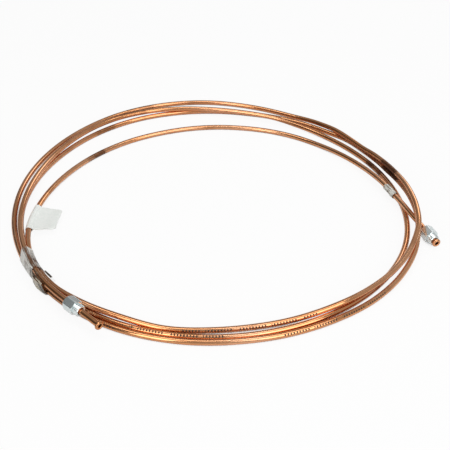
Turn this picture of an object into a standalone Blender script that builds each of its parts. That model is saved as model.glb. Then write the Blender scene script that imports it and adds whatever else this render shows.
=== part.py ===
"""Coiled rigid brake pipe with two captive union nuts, lying flat as it is sold.

Metres, +Z up.  The origin is the middle of the footprint on the floor.
One copper-coloured pipe is wound about three and two thirds times round a common
centre and crosses itself where it settled.  Each end carries a flare and a union nut
that can't come off.  A paper flag label, two strips of tape round the bundle at the
left and a short tape near end A hold the coil as it is packed.
"""
import math

import bpy
import bmesh
from mathutils import Vector

# Pipe
PIPE_DIAMETER = 0.00475
PIPE_BORE = 0.00335
PIPE_SIDES = 12
BORE_SIDES = 6

# Coil: the winding table below counts lanes and layers in steps of one pipe and one gap
PASS_GAP = 0.00030
LANE = PIPE_DIAMETER + PASS_GAP
COIL_RADIUS = 0.1750
COIL_CENTRE_X = 0.00094
COIL_CENTRE_Y = 0.00033
STEP_ANGLE = 4.9

# Straight runs beyond the ends of the winding table, out to the faces of the flares
RUN_A = 0.0288
RUN_B = 0.0429
RUN_STEPS = 4
NUT_A_TO_FACE = 0.0033
NUT_B_TO_FACE = 0.0220

# Flare: the bead stands out from the pipe, the mouth widens from its bore
FLARE_BEAD = 0.001325
FLARE_DIAMETER = PIPE_DIAMETER + 2.0 * FLARE_BEAD
FLARE_LENGTH = 0.0029
MOUTH_DIAMETER = PIPE_BORE + 0.00075

# Union nut: long hexagon with a cone at its rear, a groove, and a short threaded nose
NUT_CLEARANCE = 0.00030
NUT_BORE = PIPE_DIAMETER + 2.0 * NUT_CLEARANCE
NUT_LENGTH = 0.0165
HEX_LENGTH = 0.0113
HEX_FLATS = 0.0110
REAR_CONE = 0.0021
REAR_DIAMETER = HEX_FLATS - 0.0018
FRONT_CONE = 0.0006
GROOVE_LENGTH = 0.0010
NOSE_DIAMETER = 0.0093
GROOVE_DIAMETER = NOSE_DIAMETER - 0.0010
NOSE_CONE = 0.0011
MOUTH_CONE = 0.0010
MOUTH_WIDER = 0.00065
NUT_SIDES = 24

# Paper flag label
LABEL_FROM = 185.4
LABEL_TO = 197.2
LABEL_GAP = 0.00048
LABEL_PLY = 0.00025
FLAG_LENGTH = 0.0205
FLAG_DROP = 0.0012
FLAG_CORNER = 0.0040

# Tapes
TAPE_GAP = 0.00042
TAPE_WALL = 0.00030
BUNDLE_TAPE_FROM = 207.6
BUNDLE_TAPE_TO = 216.6
LOOSE_TAPE_FROM = 217.2
LOOSE_TAPE_TO = 222.6
LOOSE_BULGE = 0.0020
LOOSE_LIP = 0.0024
END_TAPE_FROM = -1.0
END_TAPE_TO = 4.5

# The winding, from end A to end B.  Each row is the angle turned round the coil centre
# in degrees, the lane outwards from COIL_RADIUS and the layer above the floor.
WINDING = [
    # End A comes in under the second and first turn and over the third turn
    (-13.8, 0.75, 0.95),
    (-10.5, -0.53, 1.01),
    (-5.0, -2.14, 1.06),
    (0.0, -3.33, 1.06),
    (6.0, -4.34, 1.03),
    (18.0, -5.96, 0.72),
    (32.0, -7.26, 0.30),
    # Inner back run, alone on the floor
    (48.0, -8.28, 0.00),
    (66.0, -9.14, 0.00),
    (84.0, -9.59, 0.00),
    (102.0, -9.40, 0.00),
    (120.0, -8.71, 0.00),
    (136.0, -7.48, 0.00),
    (150.0, -6.20, 0.06),
    # It climbs through the label on to the bundle
    (164.0, -4.67, 0.13),
    (176.0, -3.15, 0.24),
    (186.0, -1.82, 0.42),
    (196.0, -0.42, 0.75),
    (204.0, 0.45, 1.17),
    (212.0, 1.05, 1.21),
    (223.0, 1.21, 1.21),
    (232.0, 0.68, 1.12),
    # Inner front run, down on the floor and up again over the third turn
    (244.0, -0.35, 0.59),
    (256.0, -0.84, 0.09),
    (268.0, -1.57, 0.00),
    (280.0, -1.87, 0.03),
    (290.0, -1.64, 0.24),
    (297.0, -1.25, 0.61),
    (303.0, -0.79, 0.98),
    (313.0, -0.26, 1.11),
    (323.0, 0.26, 1.31),
    # Top of the stack at the right, over the second turn and end A
    (332.0, 0.72, 2.15),
    (340.0, 0.67, 2.83),
    (349.0, -0.04, 3.06),
    (358.0, -0.99, 3.02),
    (370.0, -2.16, 2.48),
    (381.0, -2.74, 1.79),
    (391.0, -2.88, 1.08),
    (401.0, -2.68, 1.11),
    # Outermost back run
    (412.0, -1.82, 0.43),
    (426.0, -1.45, 0.00),
    (440.0, -0.51, 0.00),
    (455.0, 0.86, 0.00),
    (470.0, 1.87, 0.00),
    (490.0, 2.53, 0.00),
    (520.0, 2.41, 0.04),
    # Outer floor place in the bundle
    (545.0, 2.16, 0.15),
    (562.0, 2.00, 0.17),
    (583.0, 1.86, 0.17),
    (590.0, 1.77, 0.08),
    # Outermost front run
    (600.0, 1.63, 0.00),
    (620.0, 1.12, 0.00),
    (640.0, 0.70, 0.00),
    (660.0, 0.83, 0.00),
    (674.0, 1.24, 0.11),
    # Over end A and under the first turn
    (684.0, 1.42, 0.49),
    (692.0, 1.34, 1.10),
    (700.0, 0.80, 1.80),
    (708.0, 0.17, 2.01),
    (716.0, -0.70, 1.97),
    (726.0, -1.73, 1.55),
    (736.0, -2.40, 0.96),
    (746.0, -2.31, 0.27),
    (756.0, -2.14, 0.00),
    (768.0, -2.94, 0.00),
    # Middle back run, which passes under the fourth turn near 795
    (780.0, -3.28, 0.00),
    (796.0, -3.53, 0.00),
    (812.0, -3.07, 0.00),
    (828.0, -2.26, 0.00),
    (844.0, -1.30, 0.00),
    (860.0, -0.63, 0.00),
    (876.0, -0.09, 0.00),
    # Inner floor place in the bundle
    (892.0, 0.48, 0.05),
    (908.0, 0.90, 0.16),
    (922.0, 0.97, 0.17),
    (943.0, 0.83, 0.17),
    (951.0, 0.74, 0.07),
    # Middle front run, then the inner pass at the right under end A
    (960.0, 0.61, 0.00),
    (980.0, 0.10, 0.00),
    (1000.0, -0.33, 0.00),
    (1020.0, -0.43, 0.00),
    (1040.0, -0.44, 0.00),
    (1056.0, -0.70, 0.00),
    (1070.0, -1.40, 0.00),
    (1082.0, -2.33, 0.00),
    (1095.0, -3.25, 0.00),
    (1110.0, -4.12, 0.00),
    # Over the third turn and on top of it along the back left
    (1124.0, -4.67, 0.07),
    (1138.0, -5.03, 0.41),
    (1150.0, -5.18, 0.93),
    (1162.0, -4.85, 1.00),
    (1174.0, -3.89, 1.01),
    (1186.0, -2.48, 1.01),
    (1198.0, -1.10, 1.03),
    (1210.0, -0.14, 1.08),
    (1225.0, 0.22, 1.06),
    # Top place in the bundle and out to end B
    (1240.0, 0.16, 1.06),
    (1252.0, 0.21, 1.19),
    (1264.0, 0.45, 1.44),
    (1276.0, 0.90, 1.80),
    (1288.0, 1.45, 2.02),
    (1296.0, 1.85, 2.04),
    (1302.0, 2.12, 1.98),
    (1306.8, 2.18, 1.93),
    (1309.9, 2.25, 1.90),
]


def material(name, colour, roughness, metallic):
    made = bpy.data.materials.new(name)
    made.use_nodes = True
    shader = made.node_tree.nodes["Principled BSDF"]
    shader.inputs["Base Color"].default_value = (colour[0], colour[1], colour[2], 1.0)
    shader.inputs["Roughness"].default_value = roughness
    shader.inputs["Metallic"].default_value = metallic
    made.diffuse_color = (colour[0], colour[1], colour[2], 1.0)
    return made


def add_body(name, points, faces, origin, look):
    """Make one closed body; its origin is the given point and it isn't turned."""
    mesh = bpy.data.meshes.new(name)
    mesh.from_pydata([point - origin for point in points], [], faces)
    work = bmesh.new()
    work.from_mesh(mesh)
    bmesh.ops.recalc_face_normals(work, faces=work.faces)
    work.to_mesh(mesh)
    work.free()
    mesh.shade_smooth()
    mesh.set_sharp_from_angle(angle=math.radians(40.0))
    body = bpy.data.objects.new(name, mesh)
    body.location = origin
    body.data.materials.append(look)
    bpy.context.scene.collection.objects.link(body)
    return body


def join_loops(faces, first, second, count):
    """Side faces between two rings that start at these vertex numbers."""
    for i in range(count):
        j = (i + 1) % count
        faces.append((first + i, first + j, second + j, second + i))


def table_slopes():
    """Slope of lane and layer at each row, level where a value turns back."""
    slopes = []
    last = len(WINDING) - 1
    for i in range(last + 1):
        pair = []
        for column in (1, 2):
            if 0 < i < last:
                before = WINDING[i][0] - WINDING[i - 1][0]
                after = WINDING[i + 1][0] - WINDING[i][0]
                rise_before = (WINDING[i][column] - WINDING[i - 1][column]) / before
                rise_after = (WINDING[i + 1][column] - WINDING[i][column]) / after
                slope = (after * rise_before + before * rise_after) / (before + after)
                if rise_before * rise_after <= 0.0:
                    slope = 0.0
                limit = 3.0 * min(abs(rise_before), abs(rise_after))
                pair.append(max(-limit, min(limit, slope)))
            else:
                a = max(i - 1, 0)
                b = min(i + 1, last)
                pair.append((WINDING[b][column] - WINDING[a][column]) / (WINDING[b][0] - WINDING[a][0]))
        slopes.append(pair)
    return slopes


SLOPES = table_slopes()


def lane_and_layer(turned):
    """Smooth reading of the winding table at an angle in degrees."""
    i = 0
    while i < len(WINDING) - 2 and WINDING[i + 1][0] <= turned:
        i += 1
    width = WINDING[i + 1][0] - WINDING[i][0]
    s = (turned - WINDING[i][0]) / width
    start = 2.0 * s ** 3 - 3.0 * s ** 2 + 1.0
    leave = (s ** 3 - 2.0 * s ** 2 + s) * width
    stop = 3.0 * s ** 2 - 2.0 * s ** 3
    arrive = (s ** 3 - s ** 2) * width
    values = []
    for column in (1, 2):
        value = WINDING[i][column] * start + SLOPES[i][column - 1] * leave
        value += WINDING[i + 1][column] * stop + SLOPES[i + 1][column - 1] * arrive
        values.append(value)
    return values


def radius_and_height(turned):
    lane, layer = lane_and_layer(turned)
    return COIL_RADIUS + lane * LANE, 0.5 * PIPE_DIAMETER + layer * LANE


def place(turned, radius, height):
    angle = math.radians(turned)
    x = COIL_CENTRE_X + radius * math.cos(angle)
    y = COIL_CENTRE_Y + radius * math.sin(angle)
    return Vector((x, y, height))


def on_pipe(turned):
    radius, height = radius_and_height(turned)
    return place(turned, radius, height)


def coil_points():
    """Centre line of the wound length in even turns of about STEP_ANGLE."""
    first = WINDING[0][0]
    last = WINDING[-1][0]
    steps = round((last - first) / STEP_ANGLE)
    return [on_pipe(first + (last - first) * i / steps) for i in range(steps + 1)]


COIL_POINTS = coil_points()


def on_swept_pipe(turned):
    """Point on the straight pieces of the swept centre line, where label and tapes sit."""
    share = (turned - WINDING[0][0]) / (WINDING[-1][0] - WINDING[0][0])
    position = share * (len(COIL_POINTS) - 1)
    i = min(int(position), len(COIL_POINTS) - 2)
    return COIL_POINTS[i].lerp(COIL_POINTS[i + 1], position - i)


def leaving(near, middle, far):
    """Direction in which a straight run leaves the winding, without a kink."""
    outer = (near - middle).normalized()
    inner = (middle - far).normalized()
    return (outer * 1.5 - inner * 0.5).normalized()


def run_frames():
    """Start, outward direction and face centre of both straight runs."""
    low = WINDING[0][0]
    high = WINDING[-1][0]
    start_a = on_pipe(low)
    start_b = on_pipe(high)
    out_a = leaving(start_a, on_pipe(low + 2.0), on_pipe(low + 4.0))
    out_b = leaving(start_b, on_pipe(high - 2.0), on_pipe(high - 4.0))
    return (start_a, out_a, start_a + out_a * RUN_A), (start_b, out_b, start_b + out_b * RUN_B)


def flare_profile():
    """Rows of distance from the flare face, outside radius and bore radius."""
    outer = 0.5 * PIPE_DIAMETER
    bore = 0.5 * PIPE_BORE
    bead = 0.5 * FLARE_DIAMETER
    mouth = 0.5 * MOUTH_DIAMETER
    return [
        (0.0, bead - 0.00085, mouth),
        (0.00028, bead - 0.00030, mouth - 0.00022),
        (0.00080, bead, bore),
        (0.00175, bead, bore),
        (0.00235, bead - 0.00035, bore),
        (0.00270, bead - 0.00090, bore),
        (FLARE_LENGTH, outer, bore),
    ]


def ring(centre, side, up, radius, count):
    points = []
    for i in range(count):
        angle = 2.0 * math.pi * i / count
        points.append(centre + side * (radius * math.cos(angle)) + up * (radius * math.sin(angle)))
    return points


def make_pipe(look):
    """One hollow pipe from flare face to flare face, swept along the winding."""
    run_a, run_b = run_frames()
    stations = []
    for depth, outer, bore in flare_profile():
        stations.append((run_a[2] - run_a[1] * depth, outer, bore))
    for i in range(1, RUN_STEPS + 1):
        depth = FLARE_LENGTH + (RUN_A - FLARE_LENGTH) * i / (RUN_STEPS + 1)
        stations.append((run_a[2] - run_a[1] * depth, 0.5 * PIPE_DIAMETER, 0.5 * PIPE_BORE))
    for point in COIL_POINTS:
        stations.append((point, 0.5 * PIPE_DIAMETER, 0.5 * PIPE_BORE))
    for i in range(RUN_STEPS, 0, -1):
        depth = FLARE_LENGTH + (RUN_B - FLARE_LENGTH) * i / (RUN_STEPS + 1)
        stations.append((run_b[2] - run_b[1] * depth, 0.5 * PIPE_DIAMETER, 0.5 * PIPE_BORE))
    for depth, outer, bore in reversed(flare_profile()):
        stations.append((run_b[2] - run_b[1] * depth, outer, bore))

    outside = []
    inside = []
    last = len(stations) - 1
    for i, (centre, outer, bore) in enumerate(stations):
        ahead = stations[min(i + 1, last)][0]
        behind = stations[max(i - 1, 0)][0]
        along = (ahead - behind).normalized()
        side = along.cross(Vector((0.0, 0.0, 1.0))).normalized()
        up = side.cross(along)
        outside.append(ring(centre, side, up, outer, PIPE_SIDES))
        inside.append(ring(centre, side, up, bore, BORE_SIDES))

    points = []
    for loop in outside:
        points.extend(loop)
    shift = len(points)
    for loop in inside:
        points.extend(loop)
    faces = []
    for i in range(last):
        join_loops(faces, i * PIPE_SIDES, (i + 1) * PIPE_SIDES, PIPE_SIDES)
        join_loops(faces, shift + i * BORE_SIDES, shift + (i + 1) * BORE_SIDES, BORE_SIDES)
    # End faces: each side of the bore meets two sides of the outside
    for outer_start, inner_start in ((0, shift), (last * PIPE_SIDES, shift + last * BORE_SIDES)):
        for i in range(BORE_SIDES):
            j = (i + 1) % BORE_SIDES
            a = outer_start + 2 * i
            b = outer_start + 2 * i + 1
            c = outer_start + (2 * i + 2) % PIPE_SIDES
            faces.append((inner_start + i, a, b))
            faces.append((inner_start + i, b, inner_start + j))
            faces.append((inner_start + j, b, c))
    return add_body("pipe", points, faces, Vector((0.0, 0.0, 0.0)), look)


def hexagon_reach(angle):
    """Distance from the middle of the hexagon to its side at this angle."""
    sixth = math.pi / 3.0
    local = (angle + 0.5 * sixth) % sixth - 0.5 * sixth
    return 0.5 * HEX_FLATS / math.cos(local)


def make_nut(name, face, out, to_face, look):
    """Union nut: hexagon with a rear cone, groove, nose towards the flare, plain bore."""
    mouth = face - out * to_face
    middle = mouth - out * (0.5 * NUT_LENGTH)
    side = out.cross(Vector((0.0, 0.0, 1.0))).normalized()
    up = side.cross(out)
    half = 0.5 * NUT_LENGTH
    rear = 0.5 * REAR_DIAMETER
    shoulder = -half + HEX_LENGTH
    corner = 0.5 * HEX_FLATS / math.cos(math.pi / 6.0)
    chamfer = 0.5 * HEX_FLATS + 0.0001
    groove = 0.5 * GROOVE_DIAMETER
    nose = 0.5 * NOSE_DIAMETER
    groove_end = shoulder + GROOVE_LENGTH
    # Outside rows from rear to mouth: place along the axis, limit of the radius
    rows = [
        (-half, rear),
        (-half + 0.5 * REAR_CONE, 0.5 * (rear + corner)),
        (-half + REAR_CONE, corner),
        (shoulder - FRONT_CONE, corner),
        (shoulder, chamfer),
        (shoulder + 0.00002, groove),
        (groove_end, groove),
        (groove_end + 0.0004, nose),
        (half - NOSE_CONE, nose),
        (half, nose - 0.6 * NOSE_CONE),
    ]
    bore = 0.5 * NUT_BORE
    bore_rows = [
        (half, bore + MOUTH_WIDER),
        (half - MOUTH_CONE, bore),
        (-half + 0.0005, bore),
        (-half, bore + 0.0004),
    ]
    loops = []
    for along, limit in rows + bore_rows:
        loop = []
        for i in range(NUT_SIDES):
            angle = 2.0 * math.pi * i / NUT_SIDES
            radius = min(limit, hexagon_reach(angle))
            spoke = side * math.cos(angle) + up * math.sin(angle)
            loop.append(middle + out * along + spoke * radius)
        loops.append(loop)
    points = []
    for loop in loops:
        points.extend(loop)
    faces = []
    for i in range(len(loops)):
        j = (i + 1) % len(loops)
        join_loops(faces, i * NUT_SIDES, j * NUT_SIDES, NUT_SIDES)
    return add_body(name, points, faces, middle, look)


def tube_of_sections(name, sections, look):
    """Closed band from sections, each an outside loop and an inside loop of equal counts."""
    count = len(sections[0][0])
    points = []
    for outside, inside in sections:
        points.extend(outside)
        points.extend(inside)
    faces = []
    for i in range(len(sections) - 1):
        here = i * 2 * count
        there = (i + 1) * 2 * count
        join_loops(faces, here, there, count)
        join_loops(faces, here + count, there + count, count)
    for here in (0, (len(sections) - 1) * 2 * count):
        join_loops(faces, here, here + count, count)
    return add_body(name, points, faces, Vector((0.0, 0.0, 0.0)), look)


def make_label(look):
    """Paper strip folded round the pipe, its two halves stuck together as a flag."""
    inner = 0.5 * PIPE_DIAMETER + LABEL_GAP
    outer = inner + LABEL_PLY
    sections = []
    steps = 8
    for i in range(steps + 1):
        share = i / steps
        turned = LABEL_FROM + (LABEL_TO - LABEL_FROM) * share
        centre = on_swept_pipe(turned)
        along = (on_pipe(turned + 2.0) - on_pipe(turned - 2.0)).normalized()
        inward = Vector((-centre.x, -centre.y, 0.0)) + Vector((COIL_CENTRE_X, COIL_CENTRE_Y, 0.0))
        inward = (inward - along * inward.dot(along)).normalized()
        up = inward.cross(along)
        if up.z < 0.0:
            up = -up
        # The two free corners of the flag are rounded
        from_edge = min(share, 1.0 - share) * (on_pipe(LABEL_TO) - on_pipe(LABEL_FROM)).length
        cut = max(0.0, FLAG_CORNER - from_edge)
        shorter = FLAG_CORNER - math.sqrt(max(0.0, FLAG_CORNER ** 2 - cut ** 2))
        reach = outer + FLAG_LENGTH - shorter
        root = math.asin(LABEL_PLY / outer)
        outside = []
        inside = []
        sides = 16
        for k in range(sides + 1):
            angle = root + (2.0 * math.pi - 2.0 * root) * k / sides
            outside.append(centre + inward * (outer * math.cos(angle)) + up * (outer * math.sin(angle)))
        for k in range(sides + 1):
            angle = root + (2.0 * math.pi - 2.0 * root) * k / sides
            inside.append(centre + inward * (inner * math.cos(angle)) + up * (inner * math.sin(angle)))
        drop = min(FLAG_DROP, centre.z - 0.0008)
        for part in (0.34, 0.67, 1.0):
            spot = centre + inward * (outer + (reach - outer) * part) - up * (drop * part)
            outside.append(spot - up * LABEL_PLY)
            inside.append(centre + inward * inner)
        for part in (1.0, 0.67, 0.34):
            spot = centre + inward * (outer + (reach - outer) * part) - up * (drop * part)
            outside.append(spot + up * LABEL_PLY)
            inside.append(centre + inward * inner)
        sections.append((outside, inside))
    return label_body(sections, look)


def label_body(sections, look):
    """Join the label sections; the loop inside skips the points of the flag."""
    count = len(sections[0][0])
    kept = count - 6
    points = []
    for outside, inside in sections:
        points.extend(outside)
        points.extend(inside[:kept])
    step = count + kept
    faces = []
    for i in range(len(sections) - 1):
        here = i * step
        there = (i + 1) * step
        join_loops(faces, here, there, count)
        join_loops(faces, here + count, there + count, kept)
    for here in (0, (len(sections) - 1) * step):
        for k in range(kept - 1):
            faces.append((here + k, here + k + 1, here + count + k + 1, here + count + k))
        low = here + kept - 1
        inner_low = here + count + kept - 1
        inner_high = here + count
        faces.append((low, here, inner_high, inner_low))
        for k in range(3):
            lower = low + k
            upper = low + 6 - k + 1
            if k == 0:
                upper = here
            far_lower = low + k + 1
            far_upper = low + 6 - k
            faces.append((lower, far_lower, far_upper, upper))
    return add_body("label", points, faces, Vector((0.0, 0.0, 0.0)), look)


def pass_centres(plan_angle, spare):
    """Radius and height of every pass that crosses the radial plane at this plan angle."""
    centres = []
    turned = plan_angle
    while turned <= WINDING[-1][0] + spare:
        if turned >= WINDING[0][0]:
            point = on_swept_pipe(min(turned, WINDING[-1][0]))
            radius = math.hypot(point.x - COIL_CENTRE_X, point.y - COIL_CENTRE_Y)
            centres.append((radius, point.z))
        turned += 360.0
    return centres


def wrap_point(centres, angle, reach):
    """Point where a taut strip round all passes touches, seen in the radial plane."""
    across = math.cos(angle)
    upward = math.sin(angle)
    best = max(centres, key=lambda centre: centre[0] * across + centre[1] * upward)
    return best[0] + reach * across, best[1] + reach * upward


def make_bundle_tape(look):
    """Clear tape wound tight round the four passes, slightly crinkled."""
    sections = []
    steps = 9
    count = 32
    for i in range(steps + 1):
        plan_angle = BUNDLE_TAPE_FROM + (BUNDLE_TAPE_TO - BUNDLE_TAPE_FROM) * i / steps
        centres = pass_centres(plan_angle, 0.0)
        outside = []
        inside = []
        for k in range(count):
            angle = 2.0 * math.pi * k / count
            crinkle = 0.00016 * (1.0 + math.sin(3.0 * angle + 1.9 * i)) * max(0.0, math.sin(angle))
            reach = 0.5 * PIPE_DIAMETER + TAPE_GAP + crinkle
            radius, height = wrap_point(centres, angle, reach)
            inside.append(place(plan_angle, radius, height))
            radius, height = wrap_point(centres, angle, reach + TAPE_WALL)
            outside.append(place(plan_angle, radius, height))
        sections.append((outside, inside))
    return tube_of_sections("bundle_tape", sections, look)


def strip_body(name, sections, look):
    """Open strip from sections, each a row of points on one face and a row on the other."""
    count = len(sections[0][0])
    points = []
    for outside, inside in sections:
        points.extend(outside)
        points.extend(reversed(inside))
    ring_count = 2 * count
    faces = []
    for i in range(len(sections) - 1):
        join_loops(faces, i * ring_count, (i + 1) * ring_count, ring_count)
    for here in (0, (len(sections) - 1) * ring_count):
        for k in range(count - 1):
            far = here + ring_count - 1 - k
            faces.append((here + k, here + k + 1, far - 1, far))
    return add_body(name, points, faces, Vector((0.0, 0.0, 0.0)), look)


def make_loose_tape(look):
    """Second strip, wound slack: it stands off outside and its free end curls up inside."""
    sections = []
    steps = 6
    turn_from = math.radians(-150.0)
    turn_to = math.radians(158.0)
    turn_steps = 27
    tail_steps = 5
    for i in range(steps + 1):
        share = i / steps
        plan_angle = LOOSE_TAPE_FROM + (LOOSE_TAPE_TO - LOOSE_TAPE_FROM) * share
        centres = pass_centres(plan_angle, 0.0)
        outside = []
        inside = []
        for k in range(turn_steps + 1):
            angle = turn_from + (turn_to - turn_from) * k / turn_steps
            bulge = LOOSE_BULGE * max(0.0, math.cos(angle)) ** 2 * (0.55 + 0.45 * math.sin(math.pi * share))
            reach = 0.5 * PIPE_DIAMETER + TAPE_GAP + bulge
            radius, height = wrap_point(centres, angle, reach)
            inside.append(place(plan_angle, radius, height))
            radius, height = wrap_point(centres, angle, reach + TAPE_WALL)
            outside.append(place(plan_angle, radius, height))
        # Free end: a lip that leaves the last touching point and curls inwards
        radius, height = wrap_point(centres, turn_to, 0.5 * PIPE_DIAMETER + TAPE_GAP + 0.5 * TAPE_WALL)
        heading = turn_to + 0.5 * math.pi
        step = LOOSE_LIP * (0.6 + 0.4 * math.sin(math.pi * share)) / tail_steps
        for k in range(tail_steps):
            heading -= math.radians(22.0)
            radius += step * math.cos(heading)
            height += step * math.sin(heading)
            normal = heading - 0.5 * math.pi
            across = 0.5 * TAPE_WALL * math.cos(normal)
            upward = 0.5 * TAPE_WALL * math.sin(normal)
            outside.append(place(plan_angle, radius + across, height + upward))
            inside.append(place(plan_angle, radius - across, height - upward))
        sections.append((outside, inside))
    return strip_body("loose_tape", sections, look)


def make_end_tape(look):
    """Short turn of tape on the run of end A, just past its crossing."""
    sections = []
    steps = 5
    count = 18
    for i in range(steps + 1):
        turned = END_TAPE_FROM + (END_TAPE_TO - END_TAPE_FROM) * i / steps
        centre = on_swept_pipe(turned)
        along = (on_pipe(turned + 2.0) - on_pipe(turned - 2.0)).normalized()
        side = along.cross(Vector((0.0, 0.0, 1.0))).normalized()
        up = side.cross(along)
        outside = []
        inside = []
        for k in range(count):
            angle = 2.0 * math.pi * k / count
            slack = 0.0005 * max(0.0, -math.cos(angle)) * (0.6 + 0.4 * math.sin(1.7 * i))
            reach = 0.5 * PIPE_DIAMETER + TAPE_GAP + slack
            spoke = side * math.cos(angle) + up * math.sin(angle)
            inside.append(centre + spoke * reach)
            outside.append(centre + spoke * (reach + TAPE_WALL))
        sections.append((outside, inside))
    return tube_of_sections("end_tape", sections, look)


def main():
    for old in list(bpy.data.objects):
        bpy.data.objects.remove(old, do_unlink=True)
    copper = material("pipe_copper", (0.60, 0.26, 0.12), 0.28, 1.0)
    zinc = material("nut_zinc", (0.60, 0.64, 0.65), 0.26, 1.0)
    paper = material("label_paper", (0.80, 0.84, 0.79), 0.60, 0.0)
    clear = material("tape_clear", (0.48, 0.46, 0.40), 0.30, 0.0)
    slack = material("tape_loose", (0.42, 0.36, 0.27), 0.30, 0.0)
    short = material("tape_short", (0.55, 0.53, 0.47), 0.34, 0.0)
    zinc_b = zinc.copy()
    zinc_b.name = "nut_zinc_b"
    run_a, run_b = run_frames()
    make_pipe(copper)
    make_nut("union_nut_a", run_a[2], run_a[1], NUT_A_TO_FACE, zinc)
    make_nut("union_nut_b", run_b[2], run_b[1], NUT_B_TO_FACE, zinc_b)
    make_label(paper)
    make_bundle_tape(clear)
    make_loose_tape(slack)
    make_end_tape(short)


main()
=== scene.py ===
# %% [markdown]
# A coiled brake pipe, dressed for rendering.
#
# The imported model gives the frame: the pipe wound about three and two thirds times,
# two union nuts, a flag label and three pieces of packing tape.  This lesson puts the
# finished surfaces round it: a finely swept copper pipe with turned flares, plated
# nuts with their chamfers and thread, a creased paper flag and crinkled clear tape.

import math

import bpy
import bmesh
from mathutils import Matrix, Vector, noise


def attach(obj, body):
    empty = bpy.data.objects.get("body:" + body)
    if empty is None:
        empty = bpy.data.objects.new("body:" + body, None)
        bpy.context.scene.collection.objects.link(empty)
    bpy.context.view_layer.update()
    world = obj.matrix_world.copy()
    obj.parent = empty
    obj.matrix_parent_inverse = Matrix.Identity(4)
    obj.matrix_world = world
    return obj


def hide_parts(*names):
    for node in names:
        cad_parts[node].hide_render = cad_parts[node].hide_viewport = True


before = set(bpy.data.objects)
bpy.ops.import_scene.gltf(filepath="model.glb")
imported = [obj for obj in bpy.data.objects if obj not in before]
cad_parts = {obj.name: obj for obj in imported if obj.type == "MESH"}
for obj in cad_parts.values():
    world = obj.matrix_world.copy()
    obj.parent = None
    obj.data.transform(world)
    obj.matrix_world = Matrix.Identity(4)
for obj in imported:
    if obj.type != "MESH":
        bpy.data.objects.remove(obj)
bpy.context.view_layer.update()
SCENE = bpy.context.scene

# %% [markdown]
# The camera comes first, so that every later step can be judged in the right view.
# The photograph looks down at about 38 degrees from close by: the near side of the
# coil is clearly larger than the far side.  A 62.6 mm lens on a 36 mm sensor, 0.69 m
# from the middle of the coil, gives that perspective.

# %% Camera
CAMERA_PLACE = Vector((0.00494, -0.58017, 0.4283))
CAMERA_TARGET = Vector((0.00494, -0.03567, 0.0))
CAMERA_LENS = 62.6


def make_camera():
    data = bpy.data.cameras.new("view_camera")
    data.lens = CAMERA_LENS
    data.sensor_width = 36.0
    camera = bpy.data.objects.new("view_camera", data)
    camera.location = CAMERA_PLACE
    camera.rotation_euler = (CAMERA_TARGET - CAMERA_PLACE).to_track_quat("-Z", "Y").to_euler()
    SCENE.collection.objects.link(camera)
    SCENE.camera = camera
    return camera


make_camera()
print("camera at", tuple(CAMERA_PLACE))

# %% [markdown]
# The coil follows a winding table: the angle turned round the coil's centre, the lane
# outwards and the layer upwards, both counted in steps of one pipe and its gap.  The
# angles were chosen by hand; the lanes and layers come from a separate program that
# fitted them to the edges of the passes in the photograph.  A smooth cubic through the
# rows gives the centre line.  It is the same table as in the CAD source, read in finer
# steps, so the fine pipe lies on the solid one.

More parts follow.
